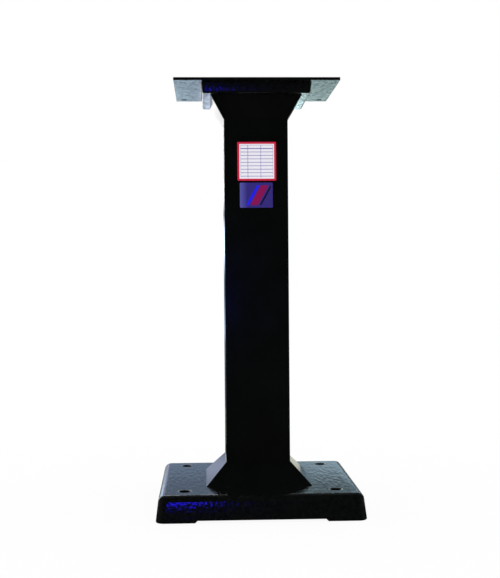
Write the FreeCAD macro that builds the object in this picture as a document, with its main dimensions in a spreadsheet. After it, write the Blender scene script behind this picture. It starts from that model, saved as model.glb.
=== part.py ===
import FreeCAD, Part

# Bench grinder stand: a cast iron base, a square sheet steel column with flared
# ends, and a cast iron head that carries the grinder.
# Millimetres. +Z is up, the front faces -Y, and the origin is on the floor under
# the middle of the stand.

import math
import os
import re

import Sketcher
from FreeCAD import Placement, Rotation, Vector

PARTS_FOLDER = "parts"
QUARTER_TURN = 90

SIZES = [
    # alias, value in millimetres or degrees, what it measures
    ("stand_height", 813, "floor to the top face of the head"),

    ("base_width", 384, "side of the square base at the floor"),
    ("base_height", 48.5, "floor to the flat top of the base"),
    ("base_draft", 7, "lean of the base's sides, in degrees"),
    ("base_corner_radius", 16, "rounding of the base's upright corners"),
    ("base_edge_radius", 12, "rounding along the base's top edge"),
    ("base_foot_radius", 2.5, "rounding along the base's bottom edge"),
    ("base_wall", 8, "thickness of the base's sides"),
    ("base_top", 9, "thickness of the base's top"),
    ("base_cove", 5, "rounding where the sides meet the top, inside"),
    ("pad_length", 71, "length of each corner foot along a side"),
    ("pad_slope", 5, "length of the slope at the end of each foot"),
    ("arch_height", 4.8, "clearance under the sides between the feet"),
    ("anchor_spacing", 279, "between the floor bolt holes, both ways"),
    ("anchor_hole", 15, "diameter of a floor bolt hole"),
    ("anchor_edge_radius", 6.5, "rounding round the top of a floor bolt hole"),
    ("anchor_boss", 36, "diameter of the boss round a floor bolt hole"),
    ("foot_bolt_spacing", 124, "between the column's bolts, both ways"),
    ("foot_bolt_hole", 11, "diameter of a hole for a column bolt"),
    ("foot_boss", 30, "diameter of the boss round a column bolt hole"),
    ("rib_depth", 10, "depth of the ribs and bosses under the base's top"),
    ("rib_thickness", 7, "thickness of a rib"),

    ("column_width", 122.4, "side of the square column"),
    ("sheet", 3, "thickness of the column's sheet steel"),
    ("bend_radius", 3, "inside radius of the bends"),
    ("lower_bend", 88.7, "floor to the bend of the lower flare"),
    ("upper_bend", 743.6, "floor to the bend of the upper flare"),
    ("foot_flare_width", 200, "side of the lower flare on the base"),
    ("head_flare_width", 173.6, "side of the upper flare under the head"),
    ("seam", 1.5, "width of a corner seam on each face, and its rounding"),

    ("foot_plate", 6, "thickness of the plate inside the lower flare"),
    ("head_plate", 6, "thickness of the plate inside the upper flare"),
    ("plate_gap", 0.5, "gap between each plate and its flare"),
    ("bead", 4, "leg of a weld bead"),
    ("bead_length", 110, "length of one weld bead"),

    ("head_width", 311, "width of the head's top"),
    ("head_depth", 246, "depth of the head's top, front to back"),
    ("head_thickness", 5.5, "thickness of the head's top"),
    ("head_corner_radius", 2, "rounding of the head's upright corners"),
    ("head_edge_radius", 0.6, "rounding along the head's edges"),
    ("rim_width", 203.4, "side of the square rim at its lower edge"),
    ("rim_depth", 20.3, "depth of the rim under the head's top"),
    ("rim_draft", 6, "lean of the rim's outer sides, in degrees"),
    ("rim_wall", 24, "thickness of the rim at its lower edge"),
    ("rim_corner_radius", 6, "rounding of the rim's outer corners"),
    ("rim_edge_radius", 4, "rounding along the rim's lower edge"),
    ("rim_cove", 2, "rounding where the rim meets the head's top"),
    ("pocket_corner_radius", 6, "rounding of the corners inside the rim"),
    ("head_rib", 8, "thickness of the two ribs that cross inside the rim"),
    ("head_rib_depth", 10, "depth of those ribs under the head's top"),
    ("screw_block", 32, "side of the square block round each head screw"),
    ("grinder_boss", 22, "diameter of the boss round each tapped hole"),
    ("grinder_boss_depth", 8.5, "depth of those bosses under the head's top"),
    ("grinder_spacing_across", 140, "between the grinder's bolts, left to right"),
    ("grinder_spacing_deep", 114, "between the grinder's bolts, front to back"),
    ("grinder_thread", 8, "diameter of the tapped holes for the grinder"),
    ("bracket_spacing", 277, "between the two holes near the rear edge"),
    ("bracket_setback", 21, "rear edge to those holes"),
    ("bracket_hole", 9, "diameter of those holes"),
    ("bracket_edge_radius", 2.5, "rounding round those holes on the underside"),

    ("bolt", 10, "diameter of a column bolt"),
    ("bolt_length", 40, "length of a column bolt under its head"),
    ("bolt_flats", 16, "across the flats of a column bolt's head"),
    ("bolt_head", 6.4, "height of a column bolt's head"),
    ("washer_width", 20, "outside diameter of a flat washer"),
    ("washer", 2, "thickness of a flat washer"),
    ("spring_washer_width", 18, "outside diameter of a spring washer"),
    ("spring_washer", 2.4, "thickness of a spring washer"),
    ("spring_washer_slit", 2, "width of the slit in a spring washer"),
    ("washer_bore", 10.6, "bore of both washers"),
    ("foot_nut", 8, "height of a weld nut on the foot plate"),
    ("foot_nut_flats", 17, "across the flats of that nut"),
    ("foot_nut_bore", 10.3, "bore of that nut"),

    ("screw", 8, "diameter of a head screw"),
    ("screw_length", 40, "whole length of a head screw"),
    ("screw_offset", 62, "middle of the head to each head screw"),
    ("screw_hole", 8.6, "diameter of the holes for the head screws"),
    ("screw_head", 15.2, "diameter of a countersunk screw head"),
    ("screw_sink", 16, "diameter of the countersink at the top face"),
    ("screw_socket", 5, "across the flats of the screw's socket"),
    ("screw_socket_depth", 3, "depth of that socket"),
    ("head_nut", 6.5, "height of a weld nut under the head plate"),
    ("head_nut_flats", 14, "across the flats of that nut"),
    ("head_nut_bore", 8.3, "bore of that nut"),

    ("label", 0.3, "thickness of a label"),
    ("label_corner_radius", 2, "rounding of a label's corners"),
    ("card_width", 74, "side of the square upper label"),
    ("card_centre", 663.5, "floor to the middle of the upper label"),
    ("card_shift", 1.3, "how far the upper label sits to the right"),
    ("badge_width", 63, "width of the lower label"),
    ("badge_height", 48, "height of the lower label"),
    ("badge_centre", 598.8, "floor to the middle of the lower label"),
]

# Places that several pieces share, as formulas on the sizes above.
HEAD_UNDERSIDE = "(stand_height - head_thickness)"
RIM_BOTTOM = "(stand_height - head_thickness - rim_depth)"
BASE_CEILING = "(base_height - base_top)"
BOSS_FACE = "(base_height - base_top - rib_depth)"
BOLT_SEAT = "(base_height - base_top - rib_depth - washer - spring_washer)"
LOWER_SLOPE = "atan((foot_flare_width - column_width) / 2 / (lower_bend - base_height))"
UPPER_SLOPE = f"atan((head_flare_width - column_width) / 2 / ({RIM_BOTTOM} - upper_bend))"
BOLT_PLACE = ("foot_bolt_spacing / 2", "foot_bolt_spacing / 2")

doc = FreeCAD.newDocument("bench_grinder_stand")
sheet = doc.addObject("Spreadsheet::Sheet", "Sizes")


def fill_sheet():
    """Write every driving dimension to the sheet, one to a row."""
    for row, (alias, value, meaning) in enumerate(SIZES, start=1):
        sheet.set(f"A{row}", alias)
        sheet.set(f"B{row}", str(value))
        sheet.set(f"C{row}", meaning)
        sheet.setAlias(f"B{row}", alias)
    doc.recompute()


def bound(formula):
    """Turn a formula on bare aliases into one that reads the sheet."""
    aliases = {alias for alias, _, _ in SIZES}

    def look_up(word):
        return f"Sizes.{word.group(0)}" if word.group(0) in aliases else word.group(0)

    return re.sub(r"[a-z_]+", look_up, formula)


def bind(thing, prop, formula):
    thing.setExpression(prop, bound(formula))


def new_body(label):
    body = doc.addObject("PartDesign::Body", label)
    body.Label = label
    body.AllowCompound = True
    return body


def new_sketch(body, role, height="0"):
    """Start a sketch on one of the body's origin planes, moved off it by height."""
    plane = next(item for item in body.Origin.OriginFeatures if item.Role == role)
    sketch = body.newObject("Sketcher::SketchObject", "sketch")
    sketch.AttachmentSupport = [(plane, "")]
    sketch.MapMode = "FlatFace"
    if height != "0":
        bind(sketch, "AttachmentOffset.Base.z", height)
    return sketch


def hold_at(sketch, geometry, point, across, up):
    """Fix one point of a sketch at a place given by two formulas."""
    place = sketch.getPoint(geometry, point)
    for kind, formula, now, axis in (("DistanceX", across, place.x, -2), ("DistanceY", up, place.y, -1)):
        if formula == "0":
            sketch.addConstraint(Sketcher.Constraint("PointOnObject", geometry, point, axis))
            continue
        index = sketch.addConstraint(Sketcher.Constraint(kind, -1, 1, geometry, point, now))
        bind(sketch, f"Constraints[{index}]", formula)


def draw_outline(sketch, corners):
    """Draw a closed outline of straight lines through the corners."""
    first = sketch.GeometryCount
    count = len(corners)
    step = Rotation(Vector(0, 0, 1), 360 / count)
    start = Vector(10, 3, 0)
    for index in range(count):
        end = step.multVec(start)
        sketch.addGeometry(Part.LineSegment(start, end))
        start = end
    for index in range(count):
        line = first + index
        following = first + (index + 1) % count
        sketch.addConstraint(Sketcher.Constraint("Coincident", line, 2, following, 1))
    for index, (across, up) in enumerate(corners):
        hold_at(sketch, first + index, 1, across, up)


def draw_rectangle(sketch, width, height, across="0", up="0"):
    left = f"({across}) - ({width}) / 2"
    right = f"({across}) + ({width}) / 2"
    low = f"({up}) - ({height}) / 2"
    high = f"({up}) + ({height}) / 2"
    draw_outline(sketch, [(left, low), (right, low), (right, high), (left, high)])


def draw_circle(sketch, diameter, across="0", up="0"):
    index = sketch.addGeometry(Part.Circle(Vector(10, 3, 0), Vector(0, 0, 1), 5))
    hold_at(sketch, index, 3, across, up)
    size = sketch.addConstraint(Sketcher.Constraint("Diameter", index, 10))
    bind(sketch, f"Constraints[{size}]", diameter)


def draw_four_circles(sketch, diameter, spacing_across, spacing_up):
    for side in ("-", ""):
        for end in ("-", ""):
            draw_circle(sketch, diameter, f"{side}{spacing_across} / 2", f"{end}{spacing_up} / 2")


def draw_hexagon(sketch, flats, across="0", up="0"):
    """Draw a regular hexagon, its corners placed by its size across the flats."""
    corner = f"({flats}) / sqrt(3)"
    places = [("1", "0"), ("0.5", "1"), ("-0.5", "1"), ("-1", "0"), ("-0.5", "-1"), ("0.5", "-1")]
    corners = []
    for along, beside in places:
        corners.append((f"({across}) + {along} * {corner}", f"({up}) + {beside} * ({flats}) / 2"))
    draw_outline(sketch, corners)


def add_pad(body, sketch, length, taper=None, reverse=False, symmetric=False):
    pad = body.newObject("PartDesign::Pad", "pad")
    pad.Profile = sketch
    pad.Reversed = reverse
    if symmetric:
        pad.SideType = "Symmetric"
    bind(pad, "Length", length)
    if taper:
        bind(pad, "TaperAngle", taper)
    doc.recompute()
    return pad


def add_pocket(body, sketch, length=None, taper=None, reverse=False, symmetric=False):
    """Cut a sketch out of the body, right through it where no length is given."""
    before = body.Shape.Volume
    pocket = body.newObject("PartDesign::Pocket", "pocket")
    pocket.Profile = sketch
    pocket.Reversed = reverse
    if symmetric:
        pocket.SideType = "Symmetric"
    if length:
        bind(pocket, "Length", length)
    else:
        pocket.Type = "ThroughAll"
    if taper:
        bind(pocket, "TaperAngle", taper)
    doc.recompute()
    if body.Shape.Volume > before - 0.1:
        raise RuntimeError(f"{body.Label}: {pocket.Name} cuts nothing")
    return pocket


def edges_where(shape, test):
    return [f"Edge{index}" for index, edge in enumerate(shape.Edges, start=1) if test(edge)]


def lies_at_height(height):
    """Make a test for edges that lie flat at one height."""
    def test(edge):
        box = edge.BoundBox
        return abs(box.ZMin - height) < 0.01 and abs(box.ZMax - height) < 0.01
    return test


def rises(edge):
    """Say whether an edge runs upwards, upright or leaning."""
    return edge.BoundBox.ZLength > 1 and len(edge.Vertexes) == 2


def is_upright(edge):
    return edge.BoundBox.XLength < 0.01 and edge.BoundBox.YLength < 0.01


def spread(edge):
    """Give how far an edge reaches from the stand's middle, sideways or to front or back."""
    box = edge.BoundBox
    return max(abs(box.XMin), abs(box.XMax), abs(box.YMin), abs(box.YMax))


def add_fillet(body, test, radius):
    before = body.Tip
    fillet = body.newObject("PartDesign::Fillet", "fillet")
    fillet.Base = (before, edges_where(before.Shape, test))
    bind(fillet, "Radius", radius)
    doc.recompute()
    return fillet


def add_chamfer(body, test, size):
    before = body.Tip
    chamfer = body.newObject("PartDesign::Chamfer", "chamfer")
    chamfer.Base = (before, edges_where(before.Shape, test))
    bind(chamfer, "Size", size)
    doc.recompute()
    return chamfer


def repeat_round(body, features, count=4):
    """Repeat features evenly round the stand's upright axis."""
    axis = next(item for item in body.Origin.OriginFeatures if item.Role == "Z_Axis")
    pattern = body.newObject("PartDesign::PolarPattern", "pattern")
    pattern.Originals = features
    pattern.Axis = (axis, [""])
    pattern.Angle = 360
    pattern.Occurrences = count
    body.Tip = pattern
    doc.recompute()
    return pattern


def size_of(alias):
    return float(sheet.get(alias))


def base_casting():
    """The square cast base: drafted sides, rounded top, four feet, ribs and bosses."""
    body = new_body("base_casting")
    height = size_of("base_height")

    sketch = new_sketch(body, "XY_Plane")
    draw_rectangle(sketch, "base_width", "base_width")
    add_pad(body, sketch, "base_height", taper="-base_draft")
    add_fillet(body, rises, "base_corner_radius")
    add_fillet(body, lies_at_height(height), "base_edge_radius")
    add_fillet(body, lies_at_height(0), "base_foot_radius")

    hollow = new_body("base_hollow_tool")
    sketch = new_sketch(hollow, "XY_Plane")
    draw_rectangle(sketch, "base_width - 2 * base_wall", "base_width - 2 * base_wall")
    add_pad(hollow, sketch, BASE_CEILING, taper="-base_draft")
    add_fillet(hollow, rises, "base_corner_radius - base_wall")
    add_fillet(hollow, lies_at_height(height - size_of("base_top")), "base_cove")
    cut_away(body, hollow)

    sketch = new_sketch(body, "XY_Plane")
    draw_four_circles(sketch, "anchor_boss", "anchor_spacing", "anchor_spacing")
    add_pad(body, sketch, "base_height - base_top / 2")

    sketch = new_sketch(body, "XY_Plane", BOSS_FACE)
    draw_four_circles(sketch, "foot_boss", "foot_bolt_spacing", "foot_bolt_spacing")
    add_pad(body, sketch, "rib_depth + base_top / 2")
    reach = "(base_width - 2 * base_wall - 2 * base_cove)"
    for side in ("-", ""):
        sketch = new_sketch(body, "XY_Plane", BOSS_FACE)
        draw_rectangle(sketch, "rib_thickness", reach, across=f"{side}foot_bolt_spacing / 2")
        add_pad(body, sketch, "rib_depth + base_top / 2")
        sketch = new_sketch(body, "XY_Plane", BOSS_FACE)
        draw_rectangle(sketch, reach, "rib_thickness", up=f"{side}foot_bolt_spacing / 2")
        add_pad(body, sketch, "rib_depth + base_top / 2")

    foot_end = "(base_width / 2 - pad_length)"
    arch = [
        (f"-{foot_end}", "-1"),
        (f"{foot_end}", "-1"),
        (f"{foot_end}", "0"),
        (f"{foot_end} - pad_slope", "arch_height"),
        (f"-{foot_end} + pad_slope", "arch_height"),
        (f"-{foot_end}", "0"),
    ]
    for role in ("XZ_Plane", "YZ_Plane"):
        sketch = new_sketch(body, role)
        draw_outline(sketch, arch)
        add_pocket(body, sketch, length="base_width + 10", symmetric=True)

    sketch = new_sketch(body, "XY_Plane")
    draw_four_circles(sketch, "anchor_hole", "anchor_spacing", "anchor_spacing")
    add_pocket(body, sketch, reverse=True)
    at_top = lies_at_height(height)
    hole_limit = 1.5 * size_of("anchor_hole")
    add_fillet(body, lambda edge: at_top(edge) and edge.BoundBox.XLength < hole_limit, "anchor_edge_radius")
    sketch = new_sketch(body, "XY_Plane")
    draw_four_circles(sketch, "foot_bolt_hole", "foot_bolt_spacing", "foot_bolt_spacing")
    add_pocket(body, sketch, reverse=True)
    return body


def cut_away(body, tool):
    """Subtract one body's shape from another."""
    cut = body.newObject("PartDesign::Boolean", "hollow")
    cut.Type = "Cut"
    cut.addObjects([tool])
    doc.recompute()
    return cut


def flare_profile():
    """Side view of a front panel: outer face first, from the foot up, then the inner."""
    foot = "foot_flare_width / 2"
    head = "head_flare_width / 2"
    wall = "column_width / 2"
    lower_thick = f"sheet / cos({LOWER_SLOPE})"
    upper_thick = f"sheet / cos({UPPER_SLOPE})"
    lower_inner_bend = f"lower_bend + sheet * tan({LOWER_SLOPE} / 2)"
    upper_inner_bend = f"upper_bend - sheet * tan({UPPER_SLOPE} / 2)"
    return [
        (f"-{foot}", "base_height"),
        (f"-{foot} + {lower_thick}", "base_height"),
        (f"-{wall} + sheet", lower_inner_bend),
        (f"-{wall} + sheet", upper_inner_bend),
        (f"-{head} + {upper_thick}", RIM_BOTTOM),
        (f"-{head}", RIM_BOTTOM),
        (f"-{wall}", "upper_bend"),
        (f"-{wall}", "lower_bend"),
    ]


def column_panel(label, quarter_turns):
    """One side of the column: sheet bent out at both ends, mitred to its neighbours."""
    body = new_body(label)
    sketch = new_sketch(body, "YZ_Plane")
    draw_outline(sketch, flare_profile())
    add_pad(body, sketch, "foot_flare_width + 10", symmetric=True)

    outer = -size_of("column_width") / 2
    inner = outer + size_of("sheet")

    def is_bend(depth):
        def test(edge):
            box = edge.BoundBox
            return box.XLength > 1 and abs(box.YMin - depth) < 0.01 and abs(box.YMax - depth) < 0.01
        return test

    add_fillet(body, is_bend(outer), "bend_radius")
    add_fillet(body, is_bend(inner), "bend_radius + sheet")

    near = "seam"
    far = "foot_flare_width"
    for side in ("", "-"):
        sketch = new_sketch(body, "XY_Plane")
        draw_outline(sketch, [
            ("0", f"-{near}"),
            (f"{side}({far} - {near})", f"-{far}"),
            (f"{side}{far}", "0"),
            ("0", "0"),
        ])
        add_pocket(body, sketch, length="3 * stand_height", symmetric=True)
    body.Placement = Placement(Vector(0, 0, 0), Rotation(Vector(0, 0, 1), QUARTER_TURN * quarter_turns))
    return body


def draw_seam_section(sketch, outer, inner):
    """Draw one corner's weld in plan: rounded outside, mitred against both panels."""
    centre = f"({outer} - seam)"
    mitre = f"({inner} - seam)"
    corners = [
        (f"{outer}", f"-{centre}"),
        (f"{inner}", f"-{mitre}"),
        (f"{inner}", f"-({inner})"),
        (f"{mitre}", f"-({inner})"),
        (f"{centre}", f"-({outer})"),
    ]
    rough = [Vector(10, -7, 0), Vector(5, -2, 0), Vector(5, -5, 0), Vector(2, -5, 0), Vector(7, -10, 0)]
    last = len(corners) - 1
    for index in range(last):
        sketch.addGeometry(Part.LineSegment(rough[index], rough[index + 1]))
        if index:
            sketch.addConstraint(Sketcher.Constraint("Coincident", index - 1, 2, index, 1))
    quarter = Part.Circle(Vector(7, -7, 0), Vector(0, 0, 1), 3)
    arc = sketch.addGeometry(Part.ArcOfCircle(quarter, -math.pi / 2, 0))
    sketch.addConstraint(Sketcher.Constraint("Coincident", arc, 1, last - 1, 2))
    sketch.addConstraint(Sketcher.Constraint("Coincident", arc, 2, 0, 1))
    for index in range(last):
        hold_at(sketch, index, 1, *corners[index])
    hold_at(sketch, last - 1, 2, *corners[last])
    index = sketch.addConstraint(Sketcher.Constraint("DistanceX", -1, 1, arc, 3, 7))
    bind(sketch, f"Constraints[{index}]", centre)


def column_seam_welds():
    """The four corner welds, ground flush, that join the panels from foot to head."""
    body = new_body("column_seam_welds")
    lower_thick = f"sheet / cos({LOWER_SLOPE})"
    upper_thick = f"sheet / cos({UPPER_SLOPE})"
    levels = [
        ("base_height", "foot_flare_width / 2", f"foot_flare_width / 2 - {lower_thick}"),
        ("lower_bend", "column_width / 2", "column_width / 2 - sheet"),
        ("upper_bend", "column_width / 2", "column_width / 2 - sheet"),
        (RIM_BOTTOM, "head_flare_width / 2", f"head_flare_width / 2 - {upper_thick}"),
    ]
    sections = []
    for height, outer, inner in levels:
        sketch = new_sketch(body, "XY_Plane", height)
        draw_seam_section(sketch, outer, inner)
        sections.append(sketch)
    doc.recompute()
    loft = body.newObject("PartDesign::AdditiveLoft", "seam")
    loft.Profile = sections[0]
    loft.Sections = sections[1:]
    loft.Ruled = True
    doc.recompute()
    repeat_round(body, [loft])
    return body


def flare_plate(label, level, flare_width, slope, thickness, downward=False):
    """A plate welded inside a flare, flush with its end and bevelled to its slope."""
    body = new_body(label)
    side = f"{flare_width} - 2 * sheet / cos({slope}) - 2 * plate_gap"
    sketch = new_sketch(body, "XY_Plane", level)
    draw_rectangle(sketch, side, side)
    add_pad(body, sketch, thickness, taper=f"-{slope}", reverse=downward)
    add_chamfer(body, rises, "seam")
    return body


def column_foot_plate():
    """The plate inside the lower flare, drilled for the base bolts."""
    body = flare_plate("column_foot_plate", "base_height", "foot_flare_width", LOWER_SLOPE, "foot_plate")
    sketch = new_sketch(body, "XY_Plane", "base_height")
    draw_four_circles(sketch, "foot_bolt_hole", "foot_bolt_spacing", "foot_bolt_spacing")
    add_pocket(body, sketch, reverse=True)
    return body


def column_head_plate():
    """The plate inside the upper flare, drilled for the head screws."""
    body = flare_plate(
        "column_head_plate", RIM_BOTTOM, "head_flare_width", UPPER_SLOPE, "head_plate", downward=True
    )
    sketch = new_sketch(body, "XY_Plane", RIM_BOTTOM)
    draw_screw_places(sketch, "screw_hole")
    add_pocket(body, sketch)
    return body


def draw_screw_places(sketch, diameter):
    """Draw a circle at each of the four head screws, in the middle of each side."""
    for side in ("-", ""):
        draw_circle(sketch, diameter, f"{side}screw_offset", "0")
        draw_circle(sketch, diameter, "0", f"{side}screw_offset")


def flare_beads(label, level, flare_width, slope, thickness, way):
    """Four weld beads, one along each inner side of a flare, on the face of its plate."""
    body = new_body(label)
    inner = f"(-{flare_width} / 2 + sheet / cos({slope}))"
    face = f"{level} {way} {thickness}"
    sketch = new_sketch(body, "YZ_Plane")
    draw_outline(sketch, [
        (f"{inner} + {thickness} * tan({slope})", face),
        (f"{inner} + {thickness} * tan({slope}) + 2 * bead", face),
        (f"{inner} + ({thickness} + bead) * tan({slope})", f"{face} {way} bead"),
    ])
    bead = add_pad(body, sketch, "bead_length", symmetric=True)
    repeat_round(body, [bead])
    return body


def foot_plate_welds():
    """The beads that join the foot plate to the lower flare, above the plate."""
    return flare_beads("foot_plate_welds", "base_height", "foot_flare_width", LOWER_SLOPE, "foot_plate", "+")


def head_plate_welds():
    """The beads that join the head plate to the upper flare, below the plate."""
    return flare_beads("head_plate_welds", RIM_BOTTOM, "head_flare_width", UPPER_SLOPE, "head_plate", "-")


def nut_group(label, height, thickness, flats, bore, place):
    """Four like hexagonal weld nuts, the first of them at the given place."""
    body = new_body(label)
    sketch = new_sketch(body, "XY_Plane", height)
    draw_hexagon(sketch, flats, *place)
    draw_circle(sketch, bore, *place)
    nut = add_pad(body, sketch, thickness)
    repeat_round(body, [nut])
    return body


def foot_weld_nuts():
    level = "base_height + foot_plate"
    return nut_group("foot_weld_nuts", level, "foot_nut", "foot_nut_flats", "foot_nut_bore", BOLT_PLACE)


def head_weld_nuts():
    level = f"{RIM_BOTTOM} - head_plate - head_nut"
    place = ("screw_offset", "0")
    return nut_group("head_weld_nuts", level, "head_nut", "head_nut_flats", "head_nut_bore", place)


def base_bolts():
    """The four hexagon bolts that come up through the base into the foot plate's nuts."""
    body = new_body("base_bolts")
    head_bottom = f"{BOLT_SEAT} - bolt_head"
    sketch = new_sketch(body, "XY_Plane", head_bottom)
    draw_hexagon(sketch, "bolt_flats", *BOLT_PLACE)
    head = add_pad(body, sketch, "bolt_head")

    sketch = new_sketch(body, "XZ_Plane", "-foot_bolt_spacing / 2")
    rim = "foot_bolt_spacing / 2 + bolt_flats / 2"
    beyond = "bolt_flats / 4"
    draw_outline(sketch, [
        (rim, head_bottom),
        (f"{rim} + {beyond}", head_bottom),
        (f"{rim} + {beyond}", f"{head_bottom} + {beyond} * tan(30)"),
    ])
    axis = sketch.addGeometry(Part.LineSegment(Vector(10, 0, 0), Vector(10, 10, 0)), True)
    hold_at(sketch, axis, 1, BOLT_PLACE[0], head_bottom)
    hold_at(sketch, axis, 2, BOLT_PLACE[0], BOLT_SEAT)
    doc.recompute()
    corners = body.newObject("PartDesign::Groove", "corners")
    corners.Profile = sketch
    corners.ReferenceAxis = (sketch, ["Axis0"])
    corners.Angle = 360
    doc.recompute()

    sketch = new_sketch(body, "XY_Plane", BOLT_SEAT)
    draw_circle(sketch, "bolt", *BOLT_PLACE)
    shank = add_pad(body, sketch, "bolt_length")
    repeat_round(body, [head, corners, shank])
    return body


def base_flat_washers():
    body = new_body("base_flat_washers")
    sketch = new_sketch(body, "XY_Plane", f"{BOSS_FACE} - washer")
    draw_circle(sketch, "washer_width", *BOLT_PLACE)
    draw_circle(sketch, "washer_bore", *BOLT_PLACE)
    ring = add_pad(body, sketch, "washer")
    repeat_round(body, [ring])
    return body


def base_spring_washers():
    """The split washers between the bolt heads and the flat washers."""
    body = new_body("base_spring_washers")
    sketch = new_sketch(body, "XY_Plane", BOLT_SEAT)
    draw_circle(sketch, "spring_washer_width", *BOLT_PLACE)
    draw_circle(sketch, "washer_bore", *BOLT_PLACE)
    ring = add_pad(body, sketch, "spring_washer")
    sketch = new_sketch(body, "XY_Plane", BOLT_SEAT)
    slit_middle = "foot_bolt_spacing / 2 + spring_washer_width / 2"
    draw_rectangle(sketch, "spring_washer_width", "spring_washer_slit", slit_middle, "foot_bolt_spacing / 2")
    slit = add_pocket(body, sketch, reverse=True)
    repeat_round(body, [ring, slit])
    return body


def head_casting():
    """The cast head: a flat top on a thick square rim that stands on the column."""
    body = new_body("head_casting")
    top = size_of("stand_height")
    underside = top - size_of("head_thickness")
    rim_bottom = underside - size_of("rim_depth")

    sketch = new_sketch(body, "XY_Plane", RIM_BOTTOM)
    draw_rectangle(sketch, "rim_width", "rim_width")
    add_pad(body, sketch, "rim_depth", taper="rim_draft")
    add_fillet(body, rises, "rim_corner_radius")

    sketch = new_sketch(body, "XY_Plane", HEAD_UNDERSIDE)
    draw_rectangle(sketch, "head_width", "head_depth")
    add_pad(body, sketch, "head_thickness")
    at_top = lies_at_height(top)
    at_underside = lies_at_height(underside)

    def is_outer(edge):
        return spread(edge) > size_of("head_depth") / 2 - 1

    def is_cove(edge):
        return at_underside(edge) and not is_outer(edge)

    def is_outline(edge):
        return is_outer(edge) and (at_top(edge) or at_underside(edge))

    add_fillet(body, lambda edge: rises(edge) and is_outer(edge), "head_corner_radius")
    add_fillet(body, is_cove, "rim_cove")
    add_fillet(body, is_outline, "head_edge_radius")
    add_fillet(body, lies_at_height(rim_bottom), "rim_edge_radius")

    sketch = new_sketch(body, "XY_Plane", RIM_BOTTOM)
    inner = "rim_width - 2 * rim_wall"
    draw_rectangle(sketch, inner, inner)
    add_pocket(body, sketch, length="rim_depth", reverse=True)
    inner_half = size_of("rim_width") / 2 - size_of("rim_wall")

    def is_inner_corner(edge):
        return is_upright(edge) and abs(spread(edge) - inner_half) < 0.1

    add_fillet(body, is_inner_corner, "pocket_corner_radius")

    for side in ("-", ""):
        place = f"{side}screw_offset"
        for across, up in ((place, "0"), ("0", place)):
            sketch = new_sketch(body, "XY_Plane", RIM_BOTTOM)
            draw_rectangle(sketch, "screw_block", "screw_block", across, up)
            add_pad(body, sketch, "rim_depth")
    for width, depth in (("head_rib", inner), (inner, "head_rib")):
        sketch = new_sketch(body, "XY_Plane", f"{HEAD_UNDERSIDE} - head_rib_depth")
        draw_rectangle(sketch, width, depth)
        add_pad(body, sketch, "head_rib_depth")
    sketch = new_sketch(body, "XY_Plane", f"{HEAD_UNDERSIDE} - grinder_boss_depth")
    draw_four_circles(sketch, "grinder_boss", "grinder_spacing_across", "grinder_spacing_deep")
    add_pad(body, sketch, "grinder_boss_depth")

    sketch = new_sketch(body, "XY_Plane", "stand_height")
    draw_four_circles(sketch, "grinder_thread", "grinder_spacing_across", "grinder_spacing_deep")
    for side in ("-", ""):
        draw_circle(sketch, "bracket_hole", f"{side}bracket_spacing / 2", "head_depth / 2 - bracket_setback")
    add_pocket(body, sketch, length="rim_depth")
    bracket_hole = size_of("bracket_hole")

    def is_bracket_edge(edge):
        return at_underside(edge) and abs(edge.BoundBox.XLength - bracket_hole) < 0.1

    add_fillet(body, is_bracket_edge, "bracket_edge_radius")

    sketch = new_sketch(body, "XY_Plane", "stand_height")
    draw_screw_places(sketch, "screw_hole")
    doc.recompute()
    hole = body.newObject("PartDesign::Hole", "countersinks")
    hole.Profile = sketch
    doc.recompute()
    hole.DepthType = "ThroughAll"
    bind(hole, "Diameter", "screw_hole")
    hole.HoleCutType = "Countersink"
    hole.HoleCutCustomValues = True
    bind(hole, "HoleCutDiameter", "screw_sink")
    hole.HoleCutCountersinkAngle = 90
    doc.recompute()
    return body


def head_screws():
    """The four countersunk screws that hold the head down on the column."""
    body = new_body("head_screws")
    sketch = new_sketch(body, "XZ_Plane")
    low = "stand_height - screw_length"
    high = "stand_height - (screw_sink - screw_head) / 2"
    cone = "(screw_head - screw) / 2"
    draw_outline(sketch, [
        ("screw_offset", low),
        ("screw_offset + screw / 2", low),
        ("screw_offset + screw / 2", f"{high} - {cone}"),
        ("screw_offset + screw_head / 2", high),
        ("screw_offset", high),
    ])
    doc.recompute()
    turned = body.newObject("PartDesign::Revolution", "turned")
    turned.Profile = sketch
    turned.ReferenceAxis = (sketch, ["Edge5"])
    turned.Angle = 360
    doc.recompute()
    sketch = new_sketch(body, "XY_Plane", high)
    draw_hexagon(sketch, "screw_socket", "screw_offset", "0")
    socket = add_pocket(body, sketch, length="screw_socket_depth")
    repeat_round(body, [turned, socket])
    return body


def label(label_name, width, height, centre, shift="0"):
    """A thin label on the column's front face, with rounded corners."""
    body = new_body(label_name)
    sketch = new_sketch(body, "XZ_Plane", "column_width / 2")
    draw_rectangle(sketch, width, height, across=shift, up=centre)
    add_pad(body, sketch, "label")
    add_fillet(body, lambda edge: edge.BoundBox.YLength > 0.1, "label_corner_radius")
    return body


def is_healthy(item):
    """Say whether an object of the document recomputed without a fault."""
    states = [str(state) for state in item.State]
    return not any(word in state for state in states for word in ("Invalid", "Error"))


def owner(item):
    bodies = [parent.Label for parent in item.InList if parent.TypeId == "PartDesign::Body"]
    return bodies[0] if bodies else "the document"


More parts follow.
